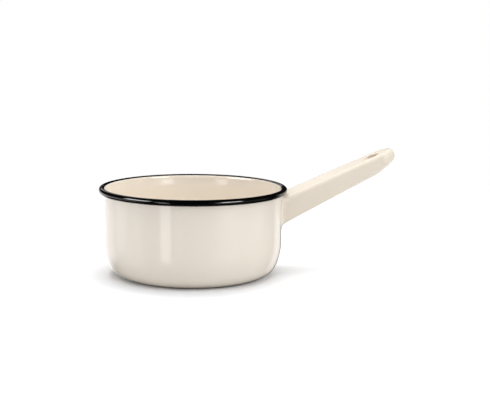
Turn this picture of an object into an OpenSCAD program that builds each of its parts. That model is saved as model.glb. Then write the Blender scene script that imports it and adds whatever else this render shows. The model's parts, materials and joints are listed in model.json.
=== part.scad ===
// Enamelled steel saucepan with a rolled, black-edged rim and a hollow pressed handle.
// The pot stands on z = 0 with its axis on Z, and the handle points along +X and rises.
// The wall is three layers: a deep-drawn steel sheet between two fired coats of enamel.

/* [Pot] */
// inside diameter of the pot
pot_inner_d = 160; // [140:1:200]
// height from the hob to the top of the rim
pot_h = 80.4; // [70:0.2:110]
// thickness of the pot's steel sheet
pot_sheet_t = 0.8; // [0.6:0.1:1.2]
// thickness of one fired coat of enamel
coat_t = 0.2; // [0.15:0.05:0.3]
// radius of the heel where it leaves the base
heel_low_r = 15.8; // [10:0.2:20]
// radius of the heel where it runs into the wall
heel_high_r = 52.2; // [40:0.2:58]
// turn of the lower heel arc, in degrees
heel_turn = 66.5; // [60:0.5:75]

/* [Base] */
// width of the foot ring that the pot stands on
foot_w = 5; // [3:0.5:10]
// height by which the panel inside the foot ring is drawn up
panel_rise = 0.8; // [0.4:0.1:1.5]
// turn up the lower heel arc at which the dark coat of the base ends, in degrees
base_coat_turn = 14; // [5:1:30]

/* [Rim] */
// height of the rolled bead
bead_h = 5.5; // [4.4:0.1:7]
// width of the flat on top of the bead
bead_flat = 0.6; // [0.3:0.1:1.5]
// turn from the top of the bead down its inside at which the black edging ends, in degrees
edging_turn = 50; // [20:1:70]

/* [Handle] */
// drop from the top of the rim to the handle's top face at the wall
handle_drop = 10.9; // [10:0.1:14]
// rise of the handle's top face, in degrees
handle_rise = 22.25; // [12:0.25:30]
// length of the handle from the wall to the tip, along its top face
handle_l = 117; // [95:0.2:160]
// width of the handle at the wall
root_w = 32.6; // [28:0.2:38]
// width of the handle where the bow begins
bow_w = 26; // [24:0.2:32]
// depth of the handle at the wall, square to its top face
root_depth = 22.4; // [19:0.2:26]
// depth of the handle where the bow begins
bow_depth = 15.9; // [14:0.1:18]
// length of the bow, from the tip back to where the underside turns up
bow_l = 24.5; // [20:0.5:32]
// depth of the handle's tip
tip_depth = 10.8; // [9.6:0.1:13]
// length of the rounded nose, seen from above
nose_l = 16.7; // [12:0.1:20]
// radius of the handle's upper edges
top_edge_r = 4.2; // [3.4:0.1:4.6]
// radius of the handle's lower edges
low_edge_r = 3.5; // [2.6:0.1:4.6]
// thickness of the handle's steel sheet
handle_sheet_t = 1; // [0.8:0.1:1.2]

/* [Welds] */
// how far the root weld flares out beyond the handle
flare = 1.2; // [1:0.1:3]
// length of the flare along the handle
flare_l = 4; // [4:0.2:8]
// how far the flare's foot is set back into the wall
flare_back = 2; // [1:0.1:3]
// how far the flare's outer end lies under the handle's surface
flare_sink = 0.4; // [0.2:0.1:0.8]
// height of the seam above the handle's lower edge
seam_up = 5; // [4.6:0.1:6]
// width of the seam weld
seam_w = 1; // [0.6:0.1:1.5]

/* [Hanging hole] */
// diameter of the hole
hole_d = 12; // [8:0.5:13]
// distance from the tip to the centre of the hole
hole_tip = 21.6; // [18:0.2:30]
// radius to which the sheet is turned into the hole
hole_edge_r = 1.7; // [1.6:0.1:2]
// length of the collar that is turned in round the hole
collar_l = 2.4; // [2:0.1:3.4]
// share of the turned edge's radius that stands proud of the tangent to the face
edge_cut_share = 0.06; // [0.03:0.01:0.12]

/* [Smoothness] */
// sides of a full circle on the pot
pot_fn = 144; // [96:12:240]
// sides of a full circle on the handle's edges
edge_fn = 28; // [28:4:32]

/* [Hidden] */
overrun = 1;

cream = [0.93, 0.90, 0.84];
black = [0.05, 0.05, 0.05];
ground_coat = [0.14, 0.13, 0.13];
steel = [0.60, 0.61, 0.62];
weld_steel = [0.50, 0.50, 0.51];

// pot: radii and heights of the outer surface, enamel included
wall_t = pot_sheet_t + 2 * coat_t;
pot_inner_r = pot_inner_d / 2;
pot_r = pot_inner_r + wall_t;
heel_dir = heel_turn - 90;
heel_top_z = heel_low_r - (heel_high_r - heel_low_r) * sin(heel_dir);
high_c = [pot_r - heel_high_r, heel_top_z];
low_c = high_c + (heel_high_r - heel_low_r) * [cos(heel_dir), sin(heel_dir)];
foot_r = low_c[0];
panel_turn = 45;

// rim: the bead's two arc centres and the end of the outer coat behind the curl's tail
bead_r = bead_h / 2;
bead_z = pot_h - bead_r;
bead_in_c = [pot_inner_r + bead_r, bead_z];
bead_out_c = bead_in_c + [bead_flat, 0];
tail_hollow_r = bead_r - coat_t - pot_sheet_t;
outer_coat_top = bead_z - sqrt(pow(tail_hollow_r, 2) - pow(bead_in_c[0] - pot_r, 2));

// handle: height of its top face at the wall, and stations along that face from the wall
handle_z = pot_h - handle_drop;
bow_t = handle_l - bow_l;
nose_t = handle_l - nose_l;
tip_ball_t = handle_l - top_edge_r;
root_t = -root_depth * tan(handle_rise) - 2 * low_edge_r;
hole_r = hole_d / 2;
hole_t = handle_l - hole_tip;
hole_edge_c = [hole_r + hole_edge_r, (edge_cut_share - 1) * hole_edge_r];
low_collar_n = min(underside_n(hole_t) + collar_l, seam_n(hole_t) - seam_w);
nose_steps = 8;

// width and depth of the handle at a station, and the height of its seam and of its underside
function handle_w(t) = root_w + (bow_w - root_w) * t / bow_t;
function handle_depth(t) = root_depth + (bow_depth - root_depth) * t / bow_t;
function seam_n(t) = seam_up - handle_depth(t);
function underside_n(t) = (bow_depth - tip_depth) * (t - bow_t) / (tip_ball_t - bow_t) - bow_depth;

// centre of one edge's ball: side is -1 or 1, low is true for a lower edge
function edge_c(t, side, low) = low
    ? [t, side * (handle_w(t) / 2 - low_edge_r), low_edge_r - handle_depth(t)]
    : [t, side * (handle_w(t) / 2 - top_edge_r), -top_edge_r];

// station at which a line along the handle, across w and up n, meets the wall
function wall_station(w, n) =
    (sqrt(pow(pot_r, 2) - pow(w, 2)) - pot_r + n * sin(handle_rise)) / cos(handle_rise);

// Pot profiles, in the plane of radius and height

// region inside the pot's outer surface, set in by d, up to the height top
module heel_region(d, top) {
    union() {
        translate([0, d]) square([foot_r, top - d]);
        translate([0, heel_top_z]) square([pot_r - d, top - heel_top_z]);
        translate(low_c) circle(r = heel_low_r - d);
        intersection() {
            translate(high_c) circle(r = heel_high_r - d);
            polygon([
                high_c,
                high_c + 2 * heel_high_r * [cos(heel_dir), sin(heel_dir)],
                high_c + 2 * heel_high_r * [1, 0],
                high_c + heel_high_r * [1, sin(heel_turn) / 2]
            ]);
        }
    }
}

// the same region with the panel of the base drawn up inside the foot ring
module pot_region(d, top) {
    edge = foot_r - foot_w + d * tan(panel_turn / 2);
    difference() {
        heel_region(d, top);
        polygon([
            [0, d - overrun],
            [edge + overrun, d - overrun],
            [edge - panel_rise, d + panel_rise],
            [0, d + panel_rise]
        ]);
    }
}

// one layer of the pot's wall, between two depths below its outer surface
module pot_layer(d_out, d_in, top) {
    difference() {
        pot_region(d_out, top);
        pot_region(d_in, top + overrun);
    }
}

// section of the bead, set in by d: two arcs joined by flats
module bead_region(d) {
    union() {
        translate(bead_in_c) circle(r = bead_r - d);
        translate(bead_out_c) circle(r = bead_r - d);
        translate(bead_in_c - [0, bead_r - d]) square([bead_flat, 2 * (bead_r - d)]);
    }
}

// one layer of the bead: it leaves the wall at the bead's middle and ends against it from below
module bead_layer(d_out, d_in) {
    difference() {
        bead_region(d_out);
        bead_region(d_in);
        square([pot_r, bead_z]);
    }
}

// inner side of the bead below the end of the black edging
module below_edging() {
    reach = 2 * bead_r;
    polygon([
        bead_in_c,
        bead_in_c + reach * [-sin(edging_turn), cos(edging_turn)],
        bead_in_c + reach * [-1, cos(edging_turn)],
        bead_in_c + reach * [-1, 0]
    ]);
}

// underside of the pot as far as the dark coat goes
module base_zone() {
    reach = 2 * heel_low_r;
    polygon([
        [0, low_c[1]],
        low_c,
        low_c + reach * [sin(base_coat_turn), -cos(base_coat_turn)],
        [0, low_c[1] - reach * cos(base_coat_turn)]
    ]);
}

module pot_shell() {
    color(steel)
    rotate_extrude($fn = pot_fn) {
        union() {
            pot_layer(coat_t, coat_t + pot_sheet_t, bead_z);
            bead_layer(coat_t, coat_t + pot_sheet_t);
        }
    }
}

module inner_enamel() {
    color(cream)
    rotate_extrude($fn = pot_fn) {
        union() {
            pot_layer(coat_t + pot_sheet_t, wall_t, bead_z);
            intersection() {
                bead_layer(0, coat_t);
                below_edging();
            }
        }
    }
}

module outer_enamel() {
    color(cream)
    difference() {
        rotate_extrude($fn = pot_fn) {
            difference() {
                pot_layer(0, coat_t, outer_coat_top);
                base_zone();
            }
        }
        place_handle() handle_form(0);
        place_handle() root_flare(0);
    }
}

module base_enamel() {
    color(ground_coat)
    rotate_extrude($fn = pot_fn) {
        intersection() {
            pot_layer(0, coat_t, outer_coat_top);
            base_zone();
        }
    }
}

module rim_enamel() {
    color(black)
    rotate_extrude($fn = pot_fn) {
        difference() {
            bead_layer(0, coat_t);
            below_edging();
        }
    }
}

// Handle, in its own frame: X along its top face, Y across, Z square to that face

module place_handle() {
    translate([pot_r, 0, handle_z]) rotate([0, -handle_rise, 0]) children();
}

// a ball whose top, bottom and sides lie exactly at its radius
module ball(r) {
    rotate_extrude($fn = edge_fn) {
        intersection() {
            circle(r = r, $fn = edge_fn);
            translate([0, -r]) square([r, 2 * r]);
        }
    }
}

// the handle's form, set in by d: a tapering box with round edges, a bow and a round nose
module handle_form(d) {
    hull() {
        for (t = [root_t, bow_t], side = [-1, 1]) {
            translate(edge_c(t, side, false)) ball(top_edge_r - d);
            translate(edge_c(t, side, true)) ball(low_edge_r - d);
        }
        for (step = [0:nose_steps], n = [-top_edge_r, top_edge_r - tip_depth]) {
            a = -90 + 180 * step / nose_steps;
            translate([
                nose_t + (nose_l - top_edge_r) * cos(a),
                (handle_w(nose_t) / 2 - top_edge_r) * sin(a),
                n
            ]) ball(top_edge_r - d);
        }
    }
}

// the flare round the handle's root, set in by d: large balls in the wall, small ones further out
module root_flare(d) {
    hull() {
        for (side = [-1, 1], low = [false, true]) {
            c = edge_c(0, side, low);
            r = (low ? low_edge_r : top_edge_r) - d;
            foot_t = wall_station(c[1], c[2]) - flare_back;
            translate(edge_c(foot_t, side, low)) ball(r + flare);
            translate(edge_c(foot_t + flare_l, side, low)) ball(r - flare_sink);
        }
    }
}

// the hanging hole with its turned edge, widened by d, from the height low to above the top face
module hole_mouth(d, low) {
    rotate_extrude($fn = pot_fn) {
        union() {
            translate([0, low]) square([hole_r + d, hole_edge_c[1] - low]);
            difference() {
                translate([0, hole_edge_c[1]]) square([hole_edge_c[0], overrun - hole_edge_c[1]]);
                translate(hole_edge_c) circle(r = hole_edge_r - d, $fn = edge_fn * 2);
            }
        }
    }
}

// the lower end of the hanging hole, widened by d, from the height top down through the underside
module hole_foot(d, top) {
    translate([0, 0, -root_depth]) cylinder(r = hole_r + d, h = root_depth + top, $fn = pot_fn);
}

// the pot's wall, as far as the handle's pieces reach it
module wall_cut() {
    translate([0, 0, -overrun]) cylinder(r = pot_r - coat_t, h = pot_h + overrun, $fn = pot_fn);
}

// what lies inside a layer of the handle: its form set in by d, less the collars of the hole
module handle_core(d) {
    difference() {
        handle_form(d);
        translate([hole_t, 0, 0]) {
            hole_mouth(d, -collar_l);
            hole_foot(d, low_collar_n);
        }
    }
}

// the pressed steel shell of the handle, both halves and the seam in one
module handle_shell() {
    difference() {
        handle_form(coat_t);
        translate([hole_t, 0, 0]) hole_mouth(coat_t, -root_depth);
        handle_core(coat_t + handle_sheet_t);
    }
}

// a band across the whole handle, between two heights from the seam's middle
module seam_band(low, high) {
    t = [root_t - root_depth, handle_l + overrun];
    rotate([90, 0, 0])
    linear_extrude(root_w * 2, center = true)
    polygon([
        [t[0], seam_n(t[0]) + low],
        [t[1], seam_n(t[1]) + low],
        [t[1], seam_n(t[1]) + high],
        [t[0], seam_n(t[0]) + high]
    ]);
}

module handle_upper() {
    color(steel)
    difference() {
        place_handle() difference() {
            handle_shell();
            seam_band(-root_depth * 2, seam_w / 2);
        }
        wall_cut();
    }
}

module handle_lower() {
    color(steel)
    difference() {
        place_handle() difference() {
            handle_shell();
            seam_band(-seam_w / 2, root_depth * 2);
        }
        wall_cut();
    }
}

module handle_seam_weld() {
    color(weld_steel)
    difference() {
        place_handle() intersection() {
            handle_shell();
            seam_band(-seam_w / 2, seam_w / 2);
        }
        wall_cut();
    }
}

module handle_root_weld() {
    color(weld_steel)
    difference() {
        place_handle() difference() {
            root_flare(coat_t);
            handle_form(coat_t);
        }
        wall_cut();
    }
}

module handle_enamel() {
    color(cream)
    difference() {
        place_handle() difference() {
            union() {
                handle_form(0);
                root_flare(0);
            }
            translate([hole_t, 0, 0]) hole_mouth(0, -root_depth);
            handle_core(coat_t);
            root_flare(coat_t);
        }
        wall_cut();
    }
}

pot_shell();
inner_enamel();
outer_enamel();
base_enamel();
rim_enamel();
handle_upper();
handle_lower();
handle_seam_weld();
handle_root_weld();
handle_enamel();
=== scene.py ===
# Looks of the enamelled saucepan: fired enamel on the CAD pieces, a studio and the camera.
# Lengths are in metres, in the CAD frame: the pot stands on z = 0 and the handle points along +X.

import json
from math import asin, atan2, cos, hypot, pi, radians, sin
import bpy
import numpy as np
from mathutils import Matrix, Vector


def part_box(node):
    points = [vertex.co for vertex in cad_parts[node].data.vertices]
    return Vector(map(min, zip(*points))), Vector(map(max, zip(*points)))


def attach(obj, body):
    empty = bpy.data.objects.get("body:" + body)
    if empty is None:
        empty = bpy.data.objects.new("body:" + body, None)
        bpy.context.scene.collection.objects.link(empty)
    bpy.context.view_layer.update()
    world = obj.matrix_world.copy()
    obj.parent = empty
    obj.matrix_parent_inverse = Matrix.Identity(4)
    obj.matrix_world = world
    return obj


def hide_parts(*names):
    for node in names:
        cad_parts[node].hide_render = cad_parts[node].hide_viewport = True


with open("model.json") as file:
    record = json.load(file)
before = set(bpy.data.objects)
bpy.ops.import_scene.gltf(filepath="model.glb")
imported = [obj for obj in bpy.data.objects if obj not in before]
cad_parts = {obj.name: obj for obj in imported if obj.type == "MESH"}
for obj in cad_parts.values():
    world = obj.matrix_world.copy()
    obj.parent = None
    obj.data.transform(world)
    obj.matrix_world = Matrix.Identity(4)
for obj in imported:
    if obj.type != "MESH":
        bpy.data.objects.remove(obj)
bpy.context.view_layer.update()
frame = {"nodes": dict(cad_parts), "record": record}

# Top of the rim, read from the frame
RIM_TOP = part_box("rim_enamel")[1].z

# The pot's wall and the handle on it, as in the CAD. Along the handle, t runs out from the wall, w
# runs across, and n runs up from the top face. HANDLE_Z is where the top face meets the wall.
POT_R = 0.0812
HANDLE_Z = RIM_TOP - 0.0109
HANDLE_RISE = radians(22.25)
HANDLE_L = 0.117
ROOT_W = 0.0326
BOW_W = 0.026
ROOT_DEPTH = 0.0224
BOW_DEPTH = 0.0159
TIP_DEPTH = 0.0108
BOW_T = HANDLE_L - 0.0245
NOSE_T = HANDLE_L - 0.0167
TOP_EDGE_R = 0.0042
LOW_EDGE_R = 0.0035
BOW_RUN = HANDLE_L - TOP_EDGE_R - BOW_T
BOW_CLIMB = BOW_DEPTH - LOW_EDGE_R - TIP_DEPTH + TOP_EDGE_R
BOW_LEAN = atan2(BOW_CLIMB, BOW_RUN) - asin((TOP_EDGE_R - LOW_EDGE_R) / hypot(BOW_RUN, BOW_CLIMB))
HOLE_R = 0.006
HOLE_T = HANDLE_L - 0.0216

# What only the handle's skin has: the round of the hanging hole's upper and lower edge, the ease
# of the underside's bend, and the reach of the fillet into the wall at three values of n. It is
# made in cells of one size in a box of t, w and n, and evened out in a few rounds.
HOLE_EDGE_R = 0.0017
HOLE_FOOT_R = 0.0003
BEND_EASE = 0.0006
FILLET_DEPTHS = (-0.022, -0.012, 0.0)
FILLET_REACHES = (0.0052, 0.0042, 0.009)
SKIN_CELL = 0.0008
SKIN_LOW = (-0.016, -0.024, -0.030)
SKIN_HIGH = (HANDLE_L + 0.002, 0.024, 0.008)
SKIN_ROUNDS = 6

# Camera
VIEW_TURN = radians(12)
VIEW_TILT = radians(8.985)
VIEW_ROLL = radians(0.548)
VIEW_DISTANCE = 1.0
AIM_SIDE = 0.0475
AIM_HEIGHT = 0.0679
LENS = 80.18
SENSOR = 36.0

# Floor: its white, the glow that lifts it for the camera, the distances from the pot's axis
# between which it fades to plain white, and half its side
FLOOR_WHITE = (0.893, 0.905, 0.925, 1)
FLOOR_GLOW = 0.01
FLOOR_FADE = (0.35, 0.7)
FLOOR_HALF = 6.0

# Lamps: the world's even level, and soft panels, each with its name, its turn from the camera's
# direction (positive to the right) and its rise in degrees, its width, height and radiance
WORLD_LEVEL = 0.56
PANEL_DISTANCE = 1.5
PANELS = [
    ("top", 0, 85, 1.0, 1.0, 3.75),
    ("top_back", 180, 70, 1.5, 1.0, 2.8),
    ("front_right", 45, 40, 1.0, 0.8, 0.4),
    ("right_side", 85, 25, 0.9, 0.8, 1.45),
]

# What the gloss reflects: a floor that runs into a dim room, with the rises in degrees between
# which it does and both radiances, and softboxes. A softbox has four edges across, from the left of
# the camera to its right, four edges upward, both in degrees seen from the part, and its radiance.
FLOOR_EDGE = (-45, -12)
FLOOR_TO_ROOM = (0.05, 0.008)
SOFTBOXES = [
    ((-176, -166, -126, -107), (-27, -16, -2, 6), 1.28),
    ((-124, -106, -76, -56), (-40, -20, -2, 6), 0.64),
    ((-124, -106, -66, -46), (-13, -10, 0, 6), 0.24),
    ((-118, -108, -96, -86), (-14, -10, 0, 6), 0.6),
    ((-93, -85, -58, -48), (11, 15, 27, 35), 11.5),
    ((-46, -42, -33, -27), (1, 5, 10, 14), 3.8),
    ((-41, -37, -27, -24), (-32, -16, 0, 6), 1.8),
    ((20, 38, 54, 70), (-30, -20, 20, 28), 0.36),
    ((28, 33, 45, 49), (1, 5, 10, 15), 3.6),
    ((30, 50, 92, 112), (-13, -10, 0, 6), 0.48),
    ((35, 40, 60, 67), (8, 12, 22, 30), 12.0),
    ((124, 142, 150, 170), (-36, -18, -2, 6), 0.96),
    ((-179, -174, -164, -158), (8, 12, 30, 45), 0.68),
]

# Colours, linear
CREAM = (0.838, 0.763, 0.668, 1)
# The body's cream made darker and warmer for the handle: painted shade
HANDLE_CREAM_PAINTED_SHADE = (0.768, 0.687, 0.582, 1)
# The body's cream made lighter for the inside: painted light
INNER_CREAM_PAINTED_LIGHT = (0.860, 0.792, 0.700, 1)
BLACK = (0.0012, 0.0012, 0.0012, 1)
GROUND = (0.035, 0.032, 0.031, 1)
STEEL = (0.55, 0.56, 0.57, 1)
WELD = (0.36, 0.36, 0.37, 1)
WHITE = (1, 1, 1, 1)
DARK = (0, 0, 0, 1)

# Detail of the enamel. A scale is in features per metre. The inner wall opens toward the bead by
# INNER_FLARE, between two heights, and the handle's painted shade fades into the wall's cream
# between two radii.
CLOUD_SCALE = 22
SPECK_SCALE = 2600
SPECK_EDGE = (0.70, 0.76)
WAVE_SCALE = 130
WAVE_HEIGHT = 0.00003
RIPPLE_SCALE = 900
RIPPLE_HEIGHT = WAVE_HEIGHT / 12
INNER_FLARE = 0.001
FLARE_HEIGHTS = (RIM_TOP - 0.002, RIM_TOP - 0.012)
PAINTED_SHADE_FADE = (POT_R, POT_R + 0.0035)

# Steel's uneven shine
STEEL_GRAIN = 500
WELD_GRAIN = 1500
GRAIN_HEIGHT = 0.00001

# Keeps a divisor away from zero
SMALL = 0.001


class Nodes:
    """The node tree of a material or of the world, with short calls for its nodes."""

    def __init__(self, owner, output="ShaderNodeOutputMaterial"):
        owner.use_nodes = True
        self.owner = owner
        self.tree = owner.node_tree
        self.tree.nodes.clear()
        self.output = self.add(output)
        place = self.add("ShaderNodeTexCoord")
        self.point = place.outputs["Object"]
        self.direction = place.outputs["Generated"]

    def add(self, kind, **settings):
        node = self.tree.nodes.new(kind)
        for key, value in settings.items():
            setattr(node, key, value)
        return node

    def join(self, source, target):
        self.tree.links.new(source, target)

    def feed(self, value, target):
        """Sets an input to a number, or joins it to a socket."""
        if isinstance(value, (int, float)):
            target.default_value = value
        else:
            self.join(value, target)

    def noise(self, scale, detail=2.0, roughness=0.5):
        """Fac of a noise texture whose features are about 1 / scale metres across."""
        node = self.add("ShaderNodeTexNoise")
        self.join(self.point, node.inputs["Vector"])
        node.inputs["Scale"].default_value = scale
        node.inputs["Detail"].default_value = detail
        node.inputs["Roughness"].default_value = roughness
        return node.outputs["Fac"]

    def ramp(self, fac, low, high, low_at=0.0, high_at=1.0):
        """Colour that runs from low to high as fac goes from low_at to high_at."""
        node = self.add("ShaderNodeValToRGB")
        self.join(fac, node.inputs["Fac"])
        ends = node.color_ramp.elements
        ends[0].position, ends[0].color = low_at, low
        ends[1].position, ends[1].color = high_at, high
        return node.outputs["Color"]

    def calculate(self, operation, *values):
        """Result of a math node on one or two sockets or numbers."""
        node = self.add("ShaderNodeMath", operation=operation)
        for value, target in zip(values, node.inputs):
            self.feed(value, target)
        return node.outputs["Value"]

    def times(self, value, other):
        return self.calculate("MULTIPLY", value, other)

    def dot(self, vector, axis):
        node = self.add("ShaderNodeVectorMath", operation="DOT_PRODUCT")
        self.join(vector, node.inputs[0])
        node.inputs[1].default_value = axis
        return node.outputs["Value"]

    def length(self, vector, axes=(1, 1, 1)):
        """Length of a vector along the given axes."""
        kept = self.add("ShaderNodeVectorMath", operation="MULTIPLY")
        self.join(vector, kept.inputs[0])
        kept.inputs[1].default_value = axes
        node = self.add("ShaderNodeVectorMath", operation="LENGTH")
        self.join(kept.outputs["Vector"], node.inputs[0])
        return node.outputs["Value"]

    def step(self, value, start, end):
        """Smooth rise from 0 at start to 1 at end, or a fall where end is the lower."""
        node = self.add("ShaderNodeMapRange", interpolation_type="SMOOTHSTEP")
        self.join(value, node.inputs["Value"])
        node.inputs["From Min"].default_value = min(start, end)
        node.inputs["From Max"].default_value = max(start, end)
        node.inputs["To Min"].default_value = float(start > end)
        node.inputs["To Max"].default_value = float(start < end)
        return node.outputs["Result"]

    def window(self, value, edges):
        """1 between the middle two of four rising edges, with smooth flanks out to the others."""
        rise = self.step(value, edges[0], edges[1])
        return self.times(rise, self.step(value, edges[3], edges[2]))

    def blend(self, share, low, high):
        """Number that runs from low to high, each a number or a socket, as share goes to 1."""
        node = self.add("ShaderNodeMix")
        self.join(share, node.inputs["Factor"])
        self.feed(low, node.inputs["A"])
        self.feed(high, node.inputs["B"])
        return node.outputs["Result"]

    def mix(self, share, colour, socket):
        """Colour that runs from the given one to the socket's as share goes from 0 to 1."""
        node = self.add("ShaderNodeMix", data_type="RGBA", blend_type="MIX")
        self.join(share, node.inputs["Factor"])
        node.inputs["A"].default_value = colour
        self.join(socket, node.inputs["B"])
        return node.outputs["Result"]

    def bump(self, height, distance, under=None):
        """Normal of a bump that is distance metres high, on top of the one under it."""
        node = self.add("ShaderNodeBump")
        node.inputs["Strength"].default_value = 1.0
        node.inputs["Distance"].default_value = distance
        self.join(height, node.inputs["Height"])
        if under is not None:
            self.join(under, node.inputs["Normal"])
        return node.outputs["Normal"]

    def surface(self, colour, normal, **values):
        """A Principled surface with the given sockets set to plain values."""
        shader = self.add("ShaderNodeBsdfPrincipled")
        for socket, value in values.items():
            shader.inputs[socket.replace("_", " ")].default_value = value
        self.join(colour, shader.inputs["Base Color"])
        self.join(normal, shader.inputs["Normal"])
        self.join(shader.outputs["BSDF"], self.output.inputs["Surface"])
        return self.owner


def shade(colour, share):
    """The colour with its brightness changed to the given share."""
    return (*(value * share for value in colour[:3]), 1)


def enamel(name, colour, speck=0.88, flare=0.0, roughness=0.07, coat=0.3, ior=1.5, wall=None):
    """Fired enamel: an even colour with a faint cloud, specks of the given share of its brightness,
    and a glassy skin. flare is how far the inner wall opens toward the bead, which only shows in
    what its top edge reflects. wall is the colour that it takes on at the pot's wall, so that a
    colour darkened as painted shade fades out there."""
    nodes = Nodes(bpy.data.materials.new(name))
    tint = nodes.ramp(
        nodes.noise(CLOUD_SCALE, detail=3),
        shade(colour, 0.985), shade(colour, 1.01), low_at=0.3, high_at=0.7)
    # Next to the pot's wall the colour fades to the wall's cream, which ends the handle's painted
    # shade
    if wall:
        out = nodes.step(nodes.length(nodes.point, (1, 1, 0)), *PAINTED_SHADE_FADE)
        tint = nodes.mix(out, wall, tint)
    plain = nodes.ramp(nodes.noise(SPECK_SCALE, detail=1), WHITE, DARK, *SPECK_EDGE)
    tint = nodes.mix(plain, shade(colour, speck), tint)
    normal = nodes.bump(nodes.noise(WAVE_SCALE, detail=1), WAVE_HEIGHT)
    normal = nodes.bump(nodes.noise(RIPPLE_SCALE), RIPPLE_HEIGHT, under=normal)
    if flare:
        height = nodes.dot(nodes.point, (0, 0, 1))
        normal = nodes.bump(nodes.step(height, *FLARE_HEIGHTS), flare, under=normal)
    return nodes.surface(
        tint, normal,
        Roughness=roughness, IOR=ior, Coat_Weight=coat, Coat_Roughness=0.03, Coat_IOR=1.5)


def bare_steel(name, colour, grain):
    """Unfinished steel: fine grain with a dull, slightly uneven shine."""
    nodes = Nodes(bpy.data.materials.new(name))
    tint = nodes.ramp(
        nodes.noise(grain, detail=4, roughness=0.6),
        shade(colour, 0.8), shade(colour, 1.15), low_at=0.3, high_at=0.7)
    normal = nodes.bump(nodes.noise(grain * 4, detail=3), GRAIN_HEIGHT)
    return nodes.surface(tint, normal, Metallic=1.0, Roughness=0.38)


MATERIALS = {
    "cream_enamel": enamel("cream_enamel", CREAM),
    # The handle in a darker copy of the body's cream: painted shade
    "handle_cream_painted_shade": enamel("handle_cream_painted_shade", HANDLE_CREAM_PAINTED_SHADE, roughness=0.22, coat=0.0, wall=CREAM),
    # The inside in a lighter copy of the body's cream: painted light
    "inner_cream_painted_light": enamel("inner_cream_painted_light", INNER_CREAM_PAINTED_LIGHT, flare=INNER_FLARE),
    "black_enamel": enamel("black_enamel", BLACK, speck=1.6, coat=0.0, ior=1.6),
    "ground_coat": enamel("ground_coat", GROUND, speck=3),
    "steel": bare_steel("steel", STEEL, STEEL_GRAIN),
    "weld_metal": bare_steel("weld_metal", WELD, WELD_GRAIN),
}


def dress_nodes():
    """Gives every CAD node the material of its slot in the record, and the inside a lighter copy of
    the body's cream, which is painted light.
    """
    for part in frame["record"]["subparts"]:
        mesh = frame["nodes"][part["node"]].data
        mesh.materials.clear()
        # The inside gets the lighter cream, which is painted light
        shade_name = "inner_cream_painted_light" if part["node"] == "inner_enamel" else part["material_slot"]
        mesh.materials.append(MATERIALS[shade_name])


def round_join(a, b, radius, lean=0.0):
    """Distance to what lies inside both a and b, with the edge between them rounded.
    lean is the cosine of the angle between their outward normals."""
    a, b = a + radius, b + radius
    corner = np.sqrt(np.maximum(a ** 2 + b ** 2 - 2 * a * b * lean, 0) / (1 - lean ** 2))
    between = (a > b * lean) & (b > a * lean)
    return np.where(between, corner, np.maximum(a, b)) - radius


def soft_union(a, b, reach):
    """Distance to what lies inside a or b, with the corner between them filled."""
    near = np.maximum(reach - np.abs(a - b), 0)
    return np.minimum(a, b) - near ** 2 / (4 * reach)


def plan_distance(t, w):
    """Distance from the handle's outline seen from above, which has tapering sides and an elliptic
    nose, and how much the outline's normal points along the handle there."""
    slope = (BOW_W - ROOT_W) / 2 / BOW_T
    half = ROOT_W / 2 + slope * t
    sides = (np.abs(w) - half) / np.hypot(1, slope)
    long = HANDLE_L - NOSE_T - TOP_EDGE_R
    wide = ROOT_W / 2 + slope * NOSE_T - TOP_EDGE_R
    past = np.maximum(t - NOSE_T, 0)
    ratio = np.maximum(np.hypot(past / long, w / wide), SMALL)
    steep = np.maximum(np.hypot(past / long ** 2, w / wide ** 2), SMALL)
    nose = ratio * (ratio - 1) / steep - TOP_EDGE_R
    ahead = np.where(t < NOSE_T, 0, past / long ** 2 / steep)
    return np.where(t < NOSE_T, sides, nose), ahead


def underside_distance(t, n):
    """Distance below the handle's underside, which turns up at the bow."""
    root = (BOW_DEPTH - ROOT_DEPTH) / BOW_T
    long = (-ROOT_DEPTH - root * t - n) / np.hypot(1, root)
    short = (t - BOW_T) * sin(BOW_LEAN) - (n + BOW_DEPTH - LOW_EDGE_R) * cos(BOW_LEAN) - LOW_EDGE_R
    return -soft_union(-long, -short, BEND_EASE)


def handle_distance(t, w, n):
    """Distance to the bare handle, without its hole and its fillet."""
    plan, ahead = plan_distance(t, w)
    form = round_join(plan, n, TOP_EDGE_R)
    low_r = np.interp(t, [BOW_T, NOSE_T], [LOW_EDGE_R, TOP_EDGE_R])
    return round_join(form, underside_distance(t, n), low_r, ahead * sin(BOW_LEAN))


def fillet_reach(n):
    """How far from the bare handle its fillet into the wall ends."""
    return np.interp(n, FILLET_DEPTHS, FILLET_REACHES)


def skin_distance(point):
    """Distance to the enamelled handle with its hole, run softly into the pot's wall."""
    t, w, n = point[..., 0], point[..., 1], point[..., 2]
    form = handle_distance(t, w, n)
    out = POT_R + t * cos(HANDLE_RISE) - n * sin(HANDLE_RISE)
    wall = np.hypot(out, w) - POT_R
    solid = soft_union(form, wall, fillet_reach(n))
    edge_r = np.where(n > -TIP_DEPTH / 2, HOLE_EDGE_R, HOLE_FOOT_R)
    return round_join(solid, HOLE_R - np.hypot(t - HOLE_T, w), edge_r)


def settle(field, points, steps, probe=0.00002, flattest=0.05):
    """Moves points straight onto the surface on which field is zero. Its slope is taken over the
    probe's length to both sides, and flattest keeps a flat spot from sending a point far off."""
    for _ in range(steps):
        slope = np.stack([field(points + d) - field(points - d) for d in np.eye(3) * probe], -1)
        slope = slope / (2 * probe)
        size = np.maximum((slope ** 2).sum(-1), flattest)
        points = points - slope * (field(points) / size)[:, None]
    return points


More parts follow.
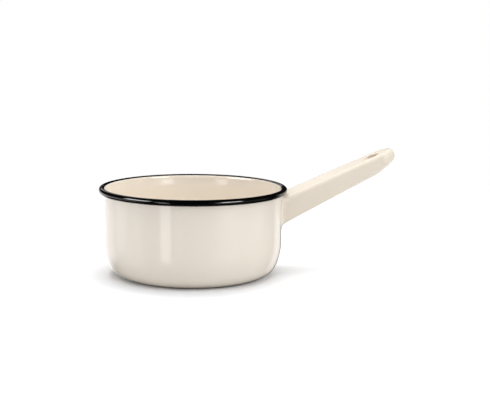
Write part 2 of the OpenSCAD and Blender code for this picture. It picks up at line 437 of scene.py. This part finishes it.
def wrap(field, low, high, cell):
    """Quads over the surface on which field is zero, with a point in each cell that it crosses."""
    axes = [np.arange(a, b + cell, cell) for a, b in zip(low, high)]
    inside = field(np.stack(np.meshgrid(*axes, indexing="ij"), -1)) < 0
    count = np.array(inside.shape) - 1
    corners = sum(
        inside[i:count[0] + i, j:count[1] + j, k:count[2] + k].astype(int)
        for i in (0, 1) for j in (0, 1) for k in (0, 1))
    crossed = (corners > 0) & (corners < 8)
    number = np.full(crossed.shape, -1)
    number[crossed] = np.arange(crossed.sum())
    points = np.array(low) + (np.argwhere(crossed) + 0.5) * cell
    quads = []
    for axis in range(3):
        one, two = np.roll(np.eye(3, dtype=int), -axis, 0)[1:]
        near, far = np.moveaxis(inside, axis, 0)[:-1], np.moveaxis(inside, axis, 0)[1:]
        changed = np.moveaxis(near != far, 0, axis)
        edge = np.argwhere(changed)
        edge = edge[((edge > 0) | (np.eye(3, dtype=int)[axis] > 0)).all(1) & (edge < count).all(1)]
        around = [number[tuple((edge - shift).T)] for shift in (0 * one, one, one + two, two)]
        quad = np.stack(around, 1)
        starts_inside = inside[tuple(edge.T)]
        quads.append(np.where(starts_inside[:, None], quad, quad[:, ::-1]))
    quads = np.concatenate(quads)
    for _ in range(SKIN_ROUNDS):
        points = settle(field, even_out(points, quads), 2)
    return settle(field, points, 3), quads


def even_out(points, quads):
    """Moves each point to the middle of the faces around it."""
    middles = points[quads].mean(1)
    total, share = np.zeros_like(points), np.zeros(len(points))
    for corner in quads.T:
        np.add.at(total, corner, middles)
        np.add.at(share, corner, 1)
    return total / share[:, None]


def add_handle_skin():
    """The handle's enamel as one smooth skin, which also lines the hanging hole. It ends on the
    pot's wall, where its fillet does."""
    points, quads = wrap(skin_distance, SKIN_LOW, SKIN_HIGH, SKIN_CELL)
    t, w, n = points[quads].mean(1).T
    quads = quads[handle_distance(t, w, n) < fillet_reach(n)]
    turn = Matrix.Rotation(-HANDLE_RISE, 4, "Y")
    place = np.array(Matrix.Translation((POT_R, 0, HANDLE_Z)) @ turn)
    world = points @ place[:3, :3].T + place[:3, 3]
    used, quads = np.unique(quads, return_inverse=True)
    mesh = bpy.data.meshes.new("handle_skin")
    mesh.from_pydata(world[used].tolist(), [], quads.reshape(-1, 4).tolist())
    mesh.shade_smooth()
    # The skin's darker cream is painted shade
    mesh.materials.append(MATERIALS["handle_cream_painted_shade"])
    skin = bpy.data.objects.new("handle_skin", mesh)
    bpy.context.scene.collection.objects.link(skin)
    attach(skin, "root")
    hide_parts("handle_enamel")


def studio_white():
    """White floor: it holds the shadow near the part, and is plain white to the camera further
    out."""
    nodes = Nodes(bpy.data.materials.new("studio_white"))
    diffuse = nodes.add("ShaderNodeBsdfDiffuse")
    diffuse.inputs["Color"].default_value = FLOOR_WHITE
    glow = nodes.add("ShaderNodeEmission")
    lifted = nodes.add("ShaderNodeAddShader")
    plain = nodes.add("ShaderNodeEmission")
    seen = nodes.add("ShaderNodeLightPath").outputs["Is Camera Ray"]
    nodes.join(nodes.times(seen, FLOOR_GLOW), glow.inputs["Strength"])
    nodes.join(diffuse.outputs["BSDF"], lifted.inputs[0])
    nodes.join(glow.outputs["Emission"], lifted.inputs[1])
    away = nodes.step(nodes.length(nodes.point), *FLOOR_FADE)
    mix = nodes.add("ShaderNodeMixShader")
    nodes.join(nodes.times(seen, away), mix.inputs["Fac"])
    nodes.join(lifted.outputs["Shader"], mix.inputs[1])
    nodes.join(plain.outputs["Emission"], mix.inputs[2])
    nodes.join(mix.outputs["Shader"], nodes.output.inputs["Surface"])
    return nodes.owner


def add_floor():
    mesh = bpy.data.meshes.new("floor")
    corners = [(x * FLOOR_HALF, y * FLOOR_HALF, 0) for x, y in ((-1, -1), (1, -1), (1, 1), (-1, 1))]
    mesh.from_pydata(corners, [], [(0, 1, 2, 3)])
    floor = bpy.data.objects.new("floor", mesh)
    bpy.context.scene.collection.objects.link(floor)
    mesh.materials.append(studio_white())
    floor.visible_glossy = False


def set_world():
    """A white surround: full white to the camera, an even level as light, and for reflections
    the floor and a dim room with softboxes, each a window of directions seen from the part."""
    nodes = Nodes(bpy.data.worlds.new("surround"), "ShaderNodeOutputWorld")
    bpy.context.scene.world = nodes.owner
    front = nodes.dot(nodes.direction, (-sin(VIEW_TURN), -cos(VIEW_TURN), 0))
    right = nodes.dot(nodes.direction, (cos(VIEW_TURN), -sin(VIEW_TURN), 0))
    side = nodes.calculate("ARCTAN2", right, front)
    rise = nodes.calculate("ARCSINE", nodes.dot(nodes.direction, (0, 0, 1)))
    room = nodes.blend(nodes.step(rise, *map(radians, FLOOR_EDGE)), *FLOOR_TO_ROOM)
    for sides, rises, radiance in SOFTBOXES:
        across = nodes.window(side, [radians(angle) for angle in sides])
        upward = nodes.window(rise, [radians(angle) for angle in rises])
        room = nodes.calculate("ADD", room, nodes.times(nodes.times(across, upward), radiance))
    path = nodes.add("ShaderNodeLightPath")
    strength = nodes.blend(path.outputs["Is Glossy Ray"], WORLD_LEVEL, room)
    strength = nodes.blend(path.outputs["Is Camera Ray"], strength, 1.0)
    surround = nodes.add("ShaderNodeBackground")
    surround.inputs["Color"].default_value = WHITE
    nodes.join(strength, surround.inputs["Strength"])
    nodes.join(surround.outputs["Background"], nodes.output.inputs["Surface"])


def add_panel(name, side, rise, width, height, radiance):
    """A soft panel lamp that faces the part, and that the softboxes stand for in reflections."""
    turn = -VIEW_TURN - radians(90) + radians(side)
    middle = Vector((0, 0, RIM_TOP / 2))
    level, up = cos(radians(rise)), sin(radians(rise))
    out = Vector((cos(turn) * level, sin(turn) * level, up))
    light = bpy.data.lights.new(name, "AREA")
    light.shape = "RECTANGLE"
    light.size = width
    light.size_y = height
    light.energy = radiance * width * height * pi
    lamp = bpy.data.objects.new(name, light)
    bpy.context.scene.collection.objects.link(lamp)
    lamp.location = middle + out * PANEL_DISTANCE
    lamp.rotation_euler = (-out).to_track_quat("-Z", "Y").to_euler()
    lamp.visible_glossy = False


def add_camera():
    """The photograph's viewpoint. It looks at a point beside the pot's axis, toward the handle."""
    level = cos(VIEW_TILT)
    look = Vector((sin(VIEW_TURN) * level, cos(VIEW_TURN) * level, -sin(VIEW_TILT)))
    aim = Vector((AIM_SIDE * cos(VIEW_TURN), -AIM_SIDE * sin(VIEW_TURN), AIM_HEIGHT))
    data = bpy.data.cameras.new("camera")
    data.lens = LENS
    data.sensor_width = SENSOR
    data.sensor_fit = "HORIZONTAL"
    data.clip_end = 30
    camera = bpy.data.objects.new("camera", data)
    bpy.context.scene.collection.objects.link(camera)
    turn = look.to_track_quat("-Z", "Y").to_matrix().to_4x4()
    roll = Matrix.Rotation(VIEW_ROLL, 4, "Z")
    camera.matrix_world = Matrix.Translation(aim - VIEW_DISTANCE * look) @ turn @ roll
    bpy.context.scene.camera = camera


dress_nodes()
add_handle_skin()
add_floor()
set_world()
for panel in PANELS:
    add_panel(*panel)
add_camera()
bpy.context.scene.view_settings.view_transform = "Standard"
